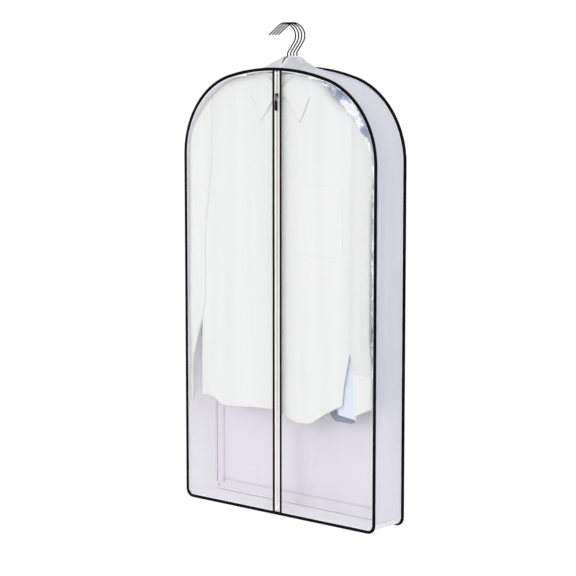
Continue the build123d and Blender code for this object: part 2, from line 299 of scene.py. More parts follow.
def film_material(name, color, spread, roughness, alpha, grain, relief=0.12):
    """Cloudy plastic film with fine relief at the grain's scale."""
    material, tree, shader = principled(name, color, roughness, Alpha=alpha)
    dark, light = shades(color, spread)
    cloudy = noise_node(tree, 6.0, 4.0, (1, 1, 0.5))
    vary_color(tree, shader, cloudy, [(0.3, dark), (0.7, light)])
    vary_roughness(tree, shader, noise_node(tree, 14.0), roughness * 0.7, roughness * 1.4)
    bump(tree, shader, noise_node(tree, grain, 2.0), relief, 0.0006)
    return material


CLEAR = film_material("clear_film", (0.92, 0.93, 0.97), 0.02, 0.10, 0.10, 45.0)
# Painted reflection and shade on the clear film: white glints and the dark blue of the shaded inside seen
# through it, in noisy patches.
GLINT_AND_SHADE_FILM, sheen_tree, sheen_shader = principled("painted_glint_and_shade_film", (0.5, 0.55, 0.75), 0.12, Alpha=0.72)
vary_color(
    sheen_tree,
    sheen_shader,
    noise_node(sheen_tree, 34.0, 4.0),
    [(0.36, (0.22, 0.26, 0.42)), (0.46, (0.45, 0.50, 0.70)), (0.55, (0.98, 0.98, 1.0))],
)
bump(sheen_tree, sheen_shader, noise_node(sheen_tree, 90.0, 2.0), 0.3, 0.001)
# Double film beside the bindings and in the hems, near white and nearly opaque: partly the thicker film,
# partly a painted edge highlight.
FILM_EDGE_HIGHLIGHT = film_material("film_edge_painted_highlight", (0.95, 0.95, 0.96), 0.02, 0.3, 0.97, 90.0)
FROSTED = film_material("frosted_film", (0.71, 0.705, 0.80), 0.035, 0.38, 0.82, 160.0)
MOUTH_FILM = film_material("mouth_film", (0.635, 0.63, 0.70), 0.12, 0.34, 0.82, 70.0, 0.5)
BACK_FILM = film_material("back_film", (0.745, 0.72, 0.785), 0.045, 0.42, 0.96, 160.0, 0.04)
# The same lavender film as the right band, coloured lighter to make up for the little light inside the bag:
# painted light, used on the left band and the bottom.
LIT_WALL_FILM = film_material("wall_film_painted_light", (0.835, 0.815, 0.875), 0.02, 0.42, 0.74, 160.0, 0.04)
WELD = film_material("weld_line", (0.66, 0.64, 0.74), 0.04, 0.4, 0.9, 160.0, 0.04)
BINDING = cloth_material("binding_tape", (0.0035, 0.0035, 0.0065), 0.3, 0.7, 0.0006, 0.6, 60.0, 0.04)
THREAD = cloth_material("binding_thread", (0.02, 0.02, 0.025), 0.2, 0.6, 0.0003, 0.5, 80.0, 0.2)
STRIP = cloth_material("strip_tape", (0.005, 0.0045, 0.006), 0.3, 0.7, 0.0005, 0.6, 60.0, 0.12)
TAPE = cloth_material("zip_tape", (0.93, 0.90, 0.89), 0.03, 0.7, 0.0005, 0.5, 40.0)
COIL = plastic_material("zip_coil", (0.90, 0.83, 0.80), 0.35)
ZIP_STOP = plastic_material("zip_stop", (0.90, 0.88, 0.87), 0.4)
ZIP_METAL = metal_material("zip_metal", (0.05, 0.05, 0.055), 0.28)
LINK_METAL = metal_material("link_metal", (0.82, 0.82, 0.84), 0.3)
TAB = plastic_material("pull_tab", (0.003, 0.003, 0.004), 0.5, Specular_IOR_Level=0.1)
# Chrome given a near-black colour and a dark edge tint: painted reflection of dark surroundings.
DARKENED_CHROME = metal_material("hook_chrome", (0.006, 0.006, 0.007), 0.16, (0.04, 0.04, 0.045, 1))
HANGER = plastic_material("hanger_plastic", (0.78, 0.78, 0.80), 0.35)
BUTTON = plastic_material("button", (0.80, 0.80, 0.78), 0.2)
SHIRT_WHITE = shirt_material("shirt_white", (0.743, 0.743, 0.740))
# A darker copy of the shirt's white for the front shirt's right sleeve: painted shade.
SHADED_SLEEVE_WHITE = shirt_material("sleeve_white_painted_shade", (0.690, 0.690, 0.688))
# Dark grey for a thin line along the collar leaves' edges: painted shadow of the leaves on the front.
COLLAR_SHADOW_LINE = cloth_material("collar_painted_shadow", (0.42, 0.42, 0.42), 0.05, 0.8, 0.0004, 0.35)
SHIRT_BLUE = shirt_material("shirt_blue", (0.70, 0.755, 0.88), 0.02, 0.35)
# Slate-blue cloth, its colour darkened to the shaded look of the hem low behind the front shirt: partly the
# cloth, partly painted shade.
SHADED_SHIRT_SLATE = shirt_material("shirt_slate_painted_shade", (0.225, 0.245, 0.37), 0.03, 0.35)

# ---- clear front ----------------------------------------------------------------------

FILM_GROW = -0.0022
TAPE_EDGE = 0.0100
FILM_SEAM = 0.0026


def inset_from_edge(x, z):
    """How far a point is inside the outline."""
    x = np.abs(x)
    round_part = SHOULDER_RADIUS - np.hypot(x - SHOULDER_X, z - SHOULDER_Z)
    straight = np.minimum(HALF_WIDTH - x, np.minimum(arch_z(x) - z, z - BOTTOM_Z))
    return np.where((x > SHOULDER_X) & (z > SHOULDER_Z), round_part, straight)


def film_y(x, z, inside, side):
    """Depth of the clear film: slack outward waves, and puckers along the shoulder's binding."""
    fade = smooth(inside, 0.0, 0.03)
    slack = 0.0014 + 0.0012 * ripple(x * 9, z * 2.2, seed=3.1) + 0.0006 * ripple(x * 24, z * 5, seed=8.4)
    turn = np.arctan2(z - SHOULDER_Z, np.abs(x) - SHOULDER_X)
    near = smooth(inside, 0.001, 0.012) * (1 - smooth(inside, 0.024, 0.05))
    along = turn * SHOULDER_RADIUS
    pucker = 0.0022 * ripple(along * 70, inside * 55, seed=5.7 + side)
    strong = smooth(turn, -0.3, 0.1) * (1 - smooth(turn, 1.2, 1.5))
    return FRONT_Y - fade * slack + near * strong * pucker


def film_half(side, name):
    """One half of the clear front, ruled from the outline to the edge of the zip."""
    count, across = 640, 64
    start = TAPE_EDGE
    stop = HALF_LENGTH - TAPE_EDGE
    share = np.linspace(0, 1, count)
    outer, _ = edge(start + (stop - start) * share, FILM_GROW)
    low, high = BOTTOM_Z - FILM_GROW, arch_z(TAPE_EDGE, FILM_GROW)
    inner = np.stack([np.full(count, TAPE_EDGE), low + (high - low) * share], -1)
    w = np.linspace(0, 1, across)[None, :, None] ** 1.6
    flat = outer[:, None, :] * (1 - w) + inner[:, None, :] * w
    x, z = flat[..., 0], flat[..., 1]
    inside = np.minimum(inset_from_edge(x, z), x - TAPE_EDGE + 0.004)
    y = film_y(side * x, z, inside, side)
    points = np.stack([side * x, y, z], -1)
    piece = grid_piece(f"{name}_sheet", points, "bag", CLEAR)
    piece.data.materials.append(FILM_EDGE_HIGHLIGHT)
    piece.data.materials.append(GLINT_AND_SHADE_FILM)
    mark_edge_and_glint_faces(piece, side)
    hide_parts(name)
    return piece


def mark_edge_and_glint_faces(piece, side):
    """The whiter double edge beside the binding, with a painted edge highlight, and painted glints and painted
    shade at the right shoulder and down the right side.
    """
    faces = piece.data.polygons
    centers = np.empty(len(faces) * 3)
    faces.foreach_get("center", centers)
    x, z = centers.reshape(-1, 3)[:, 0] * side, centers.reshape(-1, 3)[:, 2]
    inside = inset_from_edge(x, z)
    film_slot = (inside < HALF_BINDING + FILM_SEAM).astype(int)
    if side > 0:
        # Painted glints and shade: a crescent along the right shoulder's binding.
        turn = np.degrees(np.arctan2(z - SHOULDER_Z, x - SHOULDER_X))
        wave = ripple(turn * 0.16, inside * 60, seed=2.0)
        fine = ripple(turn * 0.7, inside * 160, seed=6.0)
        middle = 0.020 - 0.00022 * np.abs(turn - 48) + 0.003 * wave
        width = 0.011 * (1 - smooth(np.abs(turn - 44), 14, 38)) + 0.0035 * fine
        film_slot[(np.abs(inside - middle) < width) & (turn > 8) & (turn < 80) & (x > SHOULDER_X)] = 2
        # Painted glints and shade: a broken strip down the right side beside the binding.
        strip = 0.0030 + 0.0045 * ripple(z * 26, inside * 30, seed=9.0)
        strip = strip + 0.003 * ripple(z * 90, 0 * z, seed=1.0)
        low_side = (z < SHOULDER_Z + 0.03) & (z > BOTTOM_Z + 0.36) & (x > SHOULDER_X)
        film_slot[low_side & (inside > HALF_BINDING + FILM_SEAM) & (inside < 0.0065 + strip)] = 2
    faces.foreach_set("material_index", film_slot)


film_half(-1, "front_film_left")
film_half(1, "front_film_right")

# ---- back panel -----------------------------------------------------------------------


SEAM_GROW = -0.0036
STIFF_RIM = 0.027
STIFF_DEPTH = 0.0055
WELD_WIDTH = 0.0024
WELD_END = 0.53


def weld_line():
    """The pressed line along the inner rim of the stiffened lower part of the back panel."""
    s = np.linspace(-WELD_END, WELD_END, 420)
    rows = []
    for grow, ahead in ((-0.5, 0.0), (-0.3, 1.0), (0.3, 1.0), (0.5, 0.0)):
        point, _ = whole_edge(s, -STIFF_RIM + grow * WELD_WIDTH)
        wander = 0.0008 * ripple(point[:, 0] * 18, point[:, 1] * 18, seed=9.0)
        y = BACK_Y - 0.0030 - 0.0010 * ahead + wander
        rows.append(np.stack([point[:, 0], y, point[:, 1]], -1))
    points = np.stack(rows, 1)
    grid_piece("back_panel_weld", points, "bag", WELD)


def back_panel():
    count, across = 260, 90
    s = np.linspace(0, HALF_LENGTH, count)
    outer, _ = edge(s, SEAM_GROW)
    w = np.linspace(-1, 1, across)[None, :]
    w = np.sign(w) * (1 - (1 - np.abs(w)) ** 1.6)
    x = outer[:, 0][:, None] * w
    z = np.broadcast_to(outer[:, 1][:, None], x.shape)
    keep = np.ones(count, bool)
    keep[1:] = np.diff(outer[:, 1]) > 1e-6
    keep[0] = False
    x, z = x[keep], z[keep]
    fade = smooth(1 - np.abs(w), 0, 0.08) * np.ones_like(x)
    fade = fade * smooth(z - BOTTOM_Z, 0, 0.03) * smooth(arch_z(x) - z, 0.002, 0.03)
    waves = 0.0026 * ripple(x * 7, z * 3, seed=11.0) + 0.0012 * ripple(x * 26, z * 9, seed=2.0)
    inset = inset_from_edge(x, z) + 0.0012 * ripple(x * 18, z * 18, seed=9.0)
    low_down = 1 - smooth(z - BOTTOM_Z, 0.30, 0.45)
    waves = waves - low_down * STIFF_DEPTH * np.clip(1 - inset / STIFF_RIM, 0, 1)
    waves = waves - low_down * 0.0012 * np.exp(-(((inset - STIFF_RIM) / 0.0016) ** 2))
    lean_x = 0.021 + 0.09 * (z - BOTTOM_Z - 0.13) + 0.004 * ripple(z * 14, 0 * z, seed=7.0)
    long_fold = smooth(z - BOTTOM_Z, 0.03, 0.07) * (1 - smooth(z - BOTTOM_Z, 0.21, 0.34))
    waves = waves - 0.0100 * long_fold * np.exp(-(((x - lean_x) / 0.013) ** 2))
    tuck = 1 - smooth(inset_from_edge(x, z), 0.0036, 0.0080)
    y = BACK_Y + fade * waves - (BACK_Y - GUSSET_HALF_Y) * tuck
    points = np.stack([x, y, z], -1)
    piece = grid_piece("back_panel_film", points, "bag", BACK_FILM)
    weld_line()
    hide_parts("back_panel")


back_panel()

# ---- gussets and mouth ----------------------------------------------------------------

MOUTH_BASE = 0.080
MOUTH_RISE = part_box("gusset_right")[1].z - APEX_Z
MOUTH_HALF_Y = 0.019
MOUTH_ROWS = 38
# How steeply the mouth falls away on each side.
MOUTH_POWER = {-1: 1.05, 1: 1.75}
MOUTH_OPEN_X = 0.0062
SLIT_X = 0.0006
GUSSET_GROW = -0.0012
GUSSET_ROWS = np.sin(np.linspace(-pi / 2, pi / 2, 41))[None, :]


def gusset_sag(s, v, seed):
    """How far the band leans inwards: slack in the middle, with soft creases."""
    pinned = 1 - np.abs(v) ** 2.5
    tuck = (GUSSET_GROW - SEAM_GROW) * smooth(np.abs(v), 0.955, 0.995)
    slack = 0.0022 + 0.0014 * ripple(s * 5, v * 0.6, seed=seed)
    fine = 0.0009 * ripple(s * 16, v * 2.4, seed=seed + 4) + 0.0004 * ripple(s * 60, v * 5, seed=seed + 9)
    crease = 0.0012 * np.abs(ripple(s * 22 + v * 1.5, v * 1.2, seed=seed + 2))
    over = smooth(s, HALF_LENGTH - CROWN_ARC - SHOULDER_ARC, HALF_LENGTH - CROWN_ARC)
    return pinned * (slack + fine + crease * (0.5 + over)) + tuck


def mouth_height(x, v, power):
    """Rise of the mouth above the arch: a ridge along the hooks that falls away on all sides."""
    away = np.clip(np.abs(x) / MOUTH_BASE, 0, 1)
    across = np.abs(v) * GUSSET_HALF_Y
    ends = 1 - smooth(across, MOUTH_HALF_Y, GUSSET_HALF_Y + 0.003)
    shape = 0.14 * ripple(v * 3.0 + away * 2, away * 3, seed=4.0)
    shape = shape + 0.30 * np.abs(ripple(v * 8.0 - away * 5, away * 7 + v, seed=14.0))
    rise = (MOUTH_RISE - GUSSET_GROW - 0.001) * (1 - away) ** power * ends
    return rise * (1 + (shape - 0.05) * smooth(away, 0.02, 0.2)) + 0.03 * away * (1 - away) * shape


def slit_x(v):
    """Half width of the slit: open round the hooks, nearly shut in front and behind."""
    return SLIT_X + (MOUTH_OPEN_X - SLIT_X) * (1 - smooth(np.abs(v) * GUSSET_HALF_Y, 0.022, 0.046))


def seam_faces(piece, hem_rows=0, mouth_rows=0):
    """The whiter double film beside the bindings and in the mouth's hem, whitened further as a painted edge
    highlight, and the creased mouth.
    """
    piece.data.materials.append(FILM_EDGE_HIGHLIGHT)
    piece.data.materials.append(MOUTH_FILM)
    across = GUSSET_ROWS.size - 1
    faces = piece.data.polygons
    order = np.arange(len(faces))
    middle = (GUSSET_ROWS[0, 1:] + GUSSET_ROWS[0, :-1]) / 2
    beside = np.abs(middle)[order % across] > 0.93
    from_top = len(faces) // across - order // across
    ragged = mouth_rows * (1 + 0.35 * ripple(order % across * 0.22, 0 * order, seed=27.0))
    chosen = np.where(beside | (from_top <= hem_rows), 1, np.where(from_top <= ragged, 2, 0))
    faces.foreach_set("material_index", chosen.astype(int))


def gusset(side, name):
    """A side band with its half of the mouth, from the foot to the slit."""
    s_foot = FOOT_X + FOOT_ARC
    s_base = HALF_LENGTH - CROWN_RADIUS * np.arcsin(MOUTH_BASE / CROWN_RADIUS)
    s = np.linspace(s_foot, s_base, 250)
    v = GUSSET_ROWS
    line, out = edge(s, GUSSET_GROW)
    sag = gusset_sag(s[:, None], v, 20.0 + side) * (1.0 if side > 0 else 0.4)
    tuck = (GUSSET_GROW - SEAM_GROW) * smooth(np.abs(v), 0.955, 0.995)
    sag = tuck + (sag - tuck) * smooth(s_base - s, 0, 0.02)[:, None]
    x = line[:, 0][:, None] - out[:, 0][:, None] * sag
    z = line[:, 1][:, None] - out[:, 1][:, None] * sag
    y = GUSSET_HALF_Y * v * np.ones_like(x)
    band = np.stack([side * x, y, z], -1)
    u = np.linspace(1, 0, 46)[1:][:, None] ** 1.1
    mouth_x = slit_x(v) + (MOUTH_BASE - slit_x(v)) * u
    mouth_z = arch_z(mouth_x, GUSSET_GROW) + mouth_height(mouth_x - slit_x(v), v, MOUTH_POWER[side]) - tuck
    mouth_y = GUSSET_HALF_Y * v * np.ones_like(mouth_x)
    mouth = np.stack([side * mouth_x, mouth_y, mouth_z], -1)
    hem = []
    for inset, drop in ((0.0004, 0.0010), (-0.0006, 0.0022), (-0.0014, 0.0004), (-0.0010, -0.0008)):
        row = mouth[-1].copy()
        row[:, 0] -= side * inset
        row[:, 2] -= drop
        hem.append(row)
    points = np.concatenate([band, mouth, np.array(hem)])
    # The left band is seen from inside, so it takes the lighter copy with painted light.
    material = FROSTED if side > 0 else LIT_WALL_FILM
    piece = grid_piece(f"{name}_film", points, "bag", material)
    seam_faces(piece, len(hem) + 2, MOUTH_ROWS)
    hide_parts(name)


def bottom_gusset():
    s_foot = FOOT_X + FOOT_ARC
    s = np.linspace(-s_foot, s_foot, 260)
    line, out = edge(np.abs(s), GUSSET_GROW)
    v = GUSSET_ROWS
    tuck = (GUSSET_GROW - SEAM_GROW) * smooth(np.abs(v), 0.955, 0.995)
    sag = (gusset_sag(np.abs(s)[:, None], v, 31.0) - tuck) * smooth(s_foot - np.abs(s), 0, 0.03)[:, None]
    x = (line[:, 0] * np.sign(s))[:, None] - (out[:, 0] * np.sign(s))[:, None] * tuck
    z = line[:, 1][:, None] - out[:, 1][:, None] * tuck - np.abs(out[:, 1])[:, None] * sag * 0.3
    y = GUSSET_HALF_Y * v * np.ones_like(x)
    piece = grid_piece("gusset_bottom_film", np.stack([x, y, z], -1), "bag", LIT_WALL_FILM)
    seam_faces(piece)
    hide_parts("gusset_bottom")


gusset(-1, "gusset_left")
gusset(1, "gusset_right")
bottom_gusset()

# ---- bindings -------------------------------------------------------------------------

STITCH_PITCH = 0.0040
STITCH_LENGTH = 0.0026
# The tape's width in the face's plane over the CAD tape's, from its dark width in the photo.
TAPE_FULLNESS = 1.2


def binding(name, middle, seed):
    """Folded tape round one face of the bag, a little uneven, with its line of stitches."""
    s = np.linspace(-HALF_LENGTH, HALF_LENGTH, 901)[:-1]
    around = np.linspace(0, 2 * pi, 17)[:-1]
    c, d = np.cos(around), np.sin(around)
    half_w = HALF_BINDING * np.sign(c) * np.abs(c) ** 0.45
    half_d = BINDING_DEPTH / 2 * np.sign(d) * np.abs(d) ** 0.55
    wave = np.sin(s * pi / HALF_LENGTH)
    width = TAPE_FULLNESS + 0.06 * ripple(s * 30, wave, seed=seed)
    depth = 0.96 + 0.05 * ripple(s * 45, wave, seed=seed + 3)
    point, out = whole_edge(s, 0.0)
    grow = half_w[None, :] * width[:, None] * 0.97
    x = point[:, 0][:, None] + out[:, 0][:, None] * grow
    z = point[:, 1][:, None] + out[:, 1][:, None] * grow
    y = middle + half_d[None, :] * depth[:, None]
    points = np.stack([x, y, z], -1)
    points = np.concatenate([points, points[:1]])
    piece = grid_piece(f"{name}_tape", points, "bag", BINDING, wrap=True)
    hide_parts(name)
    face = -1 if middle < 0 else 1
    count = int(2 * HALF_LENGTH / STITCH_PITCH)
    stitches = []
    for i in range(count):
        a = -HALF_LENGTH + (i + 0.5) * 2 * HALF_LENGTH / count
        rings = []
        for end, thick in ((-0.5, 0.4), (-0.3, 1.0), (0.3, 1.0), (0.5, 0.4)):
            p, o = whole_edge(np.array([a + end * STITCH_LENGTH]), -HALF_BINDING + 0.0014)
            ring = []
            for q in (0, pi / 2, pi, 3 * pi / 2):
                r = 0.00022 * thick
                ring.append(
                    (p[0, 0] + o[0, 0] * r * cos(q), middle + face * (BINDING_DEPTH / 2 * 0.93 + r * sin(q)),
                     p[0, 1] + o[0, 1] * r * cos(q))
                )
            rings.append(ring)
        stitches.append(np.array(rings))
    many_piece(f"{name}_stitches", stitches, "bag", THREAD)


binding("front_binding", FRONT_Y, 40.0)
binding("back_binding", BACK_Y, 50.0)

# ---- zip ------------------------------------------------------------------------------

COIL_PITCH = 0.0019
COIL_WIRE = 0.00042


def zip_coil(side, name):
    """One half of the coil: flattened loops."""
    low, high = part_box(name)
    inner, outer = (low.x, high.x) if side > 0 else (high.x, low.x)
    middle = (low.y + high.y) / 2
    reach = (high.y - low.y) / 2 - COIL_WIRE
    turns = int((high.z - low.z) / COIL_PITCH)
    offset = 0.0 if side > 0 else 0.5
    loops = []
    shape = [(0.0, 0.35, 0.0), (0.10, 1.0, 0.1), (0.75, 0.95, 0.2), (1.0, 0.0, 0.45),
             (0.75, -0.95, 0.7), (0.10, -1.0, 0.85), (0.0, -0.35, 1.0)]
    for i in range(turns - 1):
        base = low.z + (i + 0.3 + offset * 0.5) * COIL_PITCH
        path = np.array(
            [(inner + (outer - inner) * (0.12 + 0.8 * a), middle + b * reach, base + c * COIL_PITCH * 0.55)
             for a, b, c in shape]
        )
        ring = []
        for k, p in enumerate(path):
            ahead = path[min(k + 1, len(path) - 1)] - path[max(k - 1, 0)]
            ahead = ahead / np.linalg.norm(ahead)
            lift = np.array([0, 0, 1.0]) - ahead * ahead[2]
            lift = lift / np.linalg.norm(lift)
            away = np.cross(ahead, lift)
            r = COIL_WIRE * (1.25 if k in (0, 6) else 1.0)
            ring.append([p + r * (lift * cos(q) + away * sin(q)) for q in (0.8, 2.37, 3.94, 5.5)])
        loops.append(np.array(ring))
    piece = many_piece(f"{name}_loops", loops, "bag", COIL)
    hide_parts(name)


def zip_strap(name, material, bulge):
    """A long woven strip where a CAD strip is, with raised edges."""
    low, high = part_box(name)
    z = np.linspace(low.z, high.z, 240)[:, None]
    profile = [(0.0, 0.0), (0.03, -1.0), (0.15, -0.75), (0.5, -0.65), (0.85, -0.75), (0.97, -1.0), (1.0, 0.0),
               (0.97, 1.0), (0.5, 0.9), (0.03, 1.0)]
    a = np.array([p[0] for p in profile])[None, :]
    b = np.array([p[1] for p in profile])[None, :]
    middle = (low.y + high.y) / 2
    sway = 0.00015 * ripple(z * 20, 0 * z, seed=60.0 + low.x * 100)
    x = low.x + (high.x - low.x) * a + sway
    y = middle + (high.y - low.y) / 2 * b * bulge + 0 * z
    zz = z + 0 * a
    top = arch_z(x, -HALF_BINDING)
    zz = np.minimum(zz, top)
    piece = many_piece(f"{name}_weave", [np.stack([x, y, zz], -1)], "bag", material)
    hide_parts(name)


for half, sign in (("left", -1), ("right", 1)):
    zip_coil(sign, f"zip_coil_{half}")
    zip_strap(f"zip_tape_{half}", TAPE, 0.95)
    zip_strap(f"zip_strip_{half}", STRIP, 0.95)

# ---- shirts ---------------------------------------------------------------------------

SHIRT_GROW = -0.0065
BODY_LEFT = -0.241
BODY_RIGHT = 0.229
# For each shirt: cloth, size of the folds, and how far its lower part flattens to the front.
SHIRTS = {
    1: (SHIRT_WHITE, 0.0060, 0.72),
    2: (SHIRT_BLUE, 0.0014, 0.0),
    3: (SHADED_SHIRT_SLATE, 0.0012, 0.0),
    4: (SHIRT_WHITE, 0.0036, 0.0),
}


def shirt_top(x):
    """The shoulder line: close under the arch on the left, a little lower on the right."""
    low = smooth(x, 0.105, 0.175) * (1 - 0.45 * smooth(x, 0.20, 0.29))
    return arch_z(x, SHIRT_GROW) - 0.040 * low


def neck_top(x, front):
    """The shoulder line with the shallow opening of the neck."""
    round_dip = np.clip(1 - (np.abs(x) / 0.060) ** 2, 0, None)
    pointed_dip = np.clip(1 - np.abs(x) / 0.054, 0, None)
    return shirt_top(x) - np.where(front > 0, 0.008 * pointed_dip, 0.012 * round_dip)


def hem_line(row, x, low_z):
    """Height of the hem: curved up at the sides; on the second and third shirts it hangs to the right."""
    if row in (1, 4):
        left = 0.020 * smooth(-x, 0.180, 0.238)
        belly = 0.011 * smooth(x, -0.02, 0.06) * (1 - smooth(x, 0.08, 0.14))
        lift = 0.010 * smooth(x, -0.20, -0.04) * (1 - smooth(x, -0.02, 0.05))
        return low_z - 0.006 + left + lift - belly + 0.052 * smooth(x, 0.085, 0.225)
    rise = 0.045 * smooth(-x, 0.10, 0.25)
    if row == 2:
        return low_z + 0.022 + rise - 0.012 * smooth(x, 0.145, 0.165)
    return low_z + 0.022 + rise - 0.033 * smooth(x, 0.10, 0.14) * (1 - smooth(x, 0.185, 0.225))


def drape(name, left, right, top, bottom, middle, depth, folds, count, down, material, corner=0.5):
    """A hanging tube of cloth, closed at the top and open at the bottom.

    left, right: its sides by the share down; top, bottom: heights by x; middle: y by the share
    down; depth: half depth by x and the share down; folds: how far the cloth stands out;
    corner: 1 round, less is squarer.
    """
    phi = np.linspace(0, 2 * pi, count)[None, :]
    v = np.linspace(0, 1, down)[:, None] ** 1.35
    u = -np.sign(np.cos(phi)) * np.abs(np.cos(phi)) ** (0.5 + 0.5 * corner)
    front = np.sign(np.sin(phi)) * np.abs(np.sin(phi)) ** corner
    x = (left(v) + right(v)) / 2 + (right(v) - left(v)) / 2 * u
    x_top = (left(0 * v) + right(0 * v)) / 2 + (right(0 * v) - left(0 * v)) / 2 * u
    crest = top(x_top, np.sin(phi) * np.ones_like(v))
    z = crest + (bottom(x) - crest) * v
    y = middle(v) - front * depth(x, v) - folds(x, z, v) * np.abs(np.sin(phi)) ** 0.8 * np.sign(np.sin(phi))
    return grid_piece(name, np.stack([x, y, z], -1), "garments", material)


def shirt_folds(seed, size):
    """Long soft folds that run down from the shoulders and deepen towards the hem."""

    def folds(x, z, v):
        grow = 0.25 + 0.75 * smooth(v, 0.0, 0.8)
        wander = x + 0.012 * ripple(z * 3, 0 * x, seed=seed)
        long = ripple(wander * 22, z * 0.9, seed=seed + 1)
        short = ripple(wander * 42, z * 2.0, seed=seed + 2)
        pull = ripple(x * 20 + z * 9, z * 6, seed=seed + 3) * (1 - smooth(v, 0.05, 0.35))
        return size * grow * (0.75 * long + 0.3 * short) + size * 0.35 * pull

    return folds


def shirt(row):
    """One shirt: body, sleeves, cuffs and collar in the places of its CAD nodes."""
    low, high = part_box(f"shirt_{row}_body")
    half_depth = (high.y - low.y) / 2
    middle = (high.y + low.y) / 2
    material, size, flat = SHIRTS[row]

    def body_depth(x, v):
        shoulder = np.sqrt(0.25 * smooth(v, 0.0, 0.006) + 0.75 * smooth(v, 0.0, 0.022))
        neck = np.clip(1 - (np.abs(x) / 0.075) ** 2, 0, 1)
        full = (half_depth - size * 0.8) * np.maximum(shoulder, np.sqrt(neck))
        return full * (1 - flat * smooth(v, 0.50, 0.92))

    body = drape(
        f"shirt_{row}_body_cloth",
        lambda v: BODY_LEFT - 0.024 * smooth(v, 0.2, 0.6),
        lambda v: BODY_RIGHT - 0.008 * smooth(v, 0.45, 0.75) - 0.026 * smooth(v, 0.76, 1.0),
        neck_top, lambda x: hem_line(row, x, low.z),
        lambda v: middle - flat * (half_depth - size * 0.8) * smooth(v, 0.50, 0.92),
        body_depth, shirt_folds(100.0 * row, size), 340, 150, material, 0.24,
    )
    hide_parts(f"shirt_{row}_body")
    cuffs = [sleeve(row, side, middle, half_depth) for side in (-1, 1)]
    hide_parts(f"shirt_{row}_cuffs")
    front = BVHTree.FromPolygons([v.co for v in body.data.vertices], [p.vertices for p in body.data.polygons])
    collar(row, front, low, high, middle, half_depth, material)
    if row == 1:
        patch("shirt_1_placket", front, (-0.016, 0.016), (low.z + 0.004, APEX_Z - 0.070), 0.0, 160, 14)
        patch("shirt_1_pocket", front, (0.056, 0.196), (APEX_Z - 0.440, APEX_Z - 0.274), 0.010, 60, 50)


# The painted shadow line along the collar's leaves: its width, and how far round the neck it shows, from the
# front.
COLLAR_SHADOW_WIDTH = 0.0012
COLLAR_SHOWN = 0.95
CUFF_HEIGHT = 0.070
CUFF_SKEW = 0.034
# How much higher the left sleeves end behind the front shirt, and how the front one fills out.
LEFT_LIFT = 0.150
SLEEVE_FILL = 0.0055
# How far the second shirt's right sleeve hangs lower, towards the middle and to the front.
BLUE_DROP = 0.036
BLUE_REACH = 0.056
BLUE_AHEAD = 0.026


def sleeve(row, side, middle, half_depth):
    """A sleeve and its cuff, hanging between the body and the side of the bag."""
    material, size, flat = SHIRTS[row]
    half = "left" if side < 0 else "right"
    low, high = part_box(f"shirt_{row}_sleeve_{half}")
    depth = half_depth - 0.0015
    shift = LEFT_LIFT * (row > 1) if side < 0 else -BLUE_DROP * (row == 2)
    end = low.z + shift

    if side < 0:
        def left(v):
            return -0.3008 + 0 * v

        def right(v):
            upper = -0.226 - 0.026 * smooth(v, 0.15, 0.55)
            return upper - 0.016 * smooth(v, 0.72, 0.86) - 0.025 * smooth(v, 0.80, 0.99)
    else:
        reach = BLUE_REACH * (row == 2)

        def left(v):
            edge = 0.221 - 0.003 * smooth(v, 0.4, 0.8) + 0.014 * smooth(v, 0.88, 1.0)
            return edge - reach * smooth(v, 0.5, 1.0)

        def right(v):
            edge = 0.291 - 0.011 * smooth(v, 0.05, 0.3) + 0.008 * smooth(v, 0.8, 1.0)
            return edge - reach * smooth(v, 0.5, 1.0)

    ahead = BLUE_AHEAD * (row == 2 and side > 0)
    fill = SLEEVE_FILL * (row == 1 and side < 0)
    # The front shirt's right sleeve takes the darker copy of its white: painted shade.
    cloth = SHADED_SLEEVE_WHITE if row == 1 and side > 0 else material
    piece = drape(
        f"shirt_{row}_sleeve_{half}_cloth", left, right,
        lambda x, front: shirt_top(x), lambda x: end + 0 * x,
        lambda v: middle - flat * depth * smooth(v, 0.45, 0.92) - ahead * smooth(v, 0.5, 0.9),
        lambda x, v: depth * np.sqrt(smooth(v, 0.0, 0.025)) * (1 - flat * smooth(v, 0.45, 0.92))
        + fill * smooth(-x, 0.262, 0.290) * smooth(v, 0.0, 0.02) * (1 - smooth(v, 0.7, 0.95)),
        shirt_folds(100.0 * row + 30 + side, size * 0.45), 110, 120, cloth, 0.24,
    )
    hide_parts(f"shirt_{row}_sleeve_{half}")
    skew = CUFF_SKEW * (row == 1 and side > 0)
    return cuff(row, half, float(left(1.0)), float(right(1.0)), end, skew, middle - flat * depth - ahead)


def cuff(row, half, left, right, top, skew, middle):
    """A cuff: a band a little wider than the end of its sleeve, with a rolled lower rim."""
    material, size, flat = SHIRTS[row]
    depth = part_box(f"shirt_{row}_cuffs")
    depth = ((depth[1].y - depth[0].y) / 2 - 0.0015) * (1 - flat)
    phi = np.linspace(0, 2 * pi, 91)[None, :]
    v = np.linspace(0, 1, 34)[:, None]
    spread = 1.0 + 0.04 * smooth(v, 0, 0.12)
    u = -np.sign(np.cos(phi)) * np.abs(np.cos(phi)) ** 0.7
    x = (left + right) / 2 + (right - left) / 2 * u * spread
    rim = 0.0008 * (smooth(v, 0.0, 0.04) - smooth(v, 0.97, 1.0))
    wave = 0.0010 * ripple(np.cos(phi) * 2, v * 1.5, seed=row * 10.0 + left)
    reach = depth + 0.0004 + rim
    y = middle - np.sign(np.sin(phi)) * np.abs(np.sin(phi)) ** 0.45 * reach + wave
    z = top + 0.004 - (CUFF_HEIGHT + 0.004) * v - skew * v * (1 - u) / 2 - 0.004 * u * v
    made = grid_piece(f"shirt_{row}_cuff_{half}", np.stack([x, y, z], -1), "garments", material)
    return made


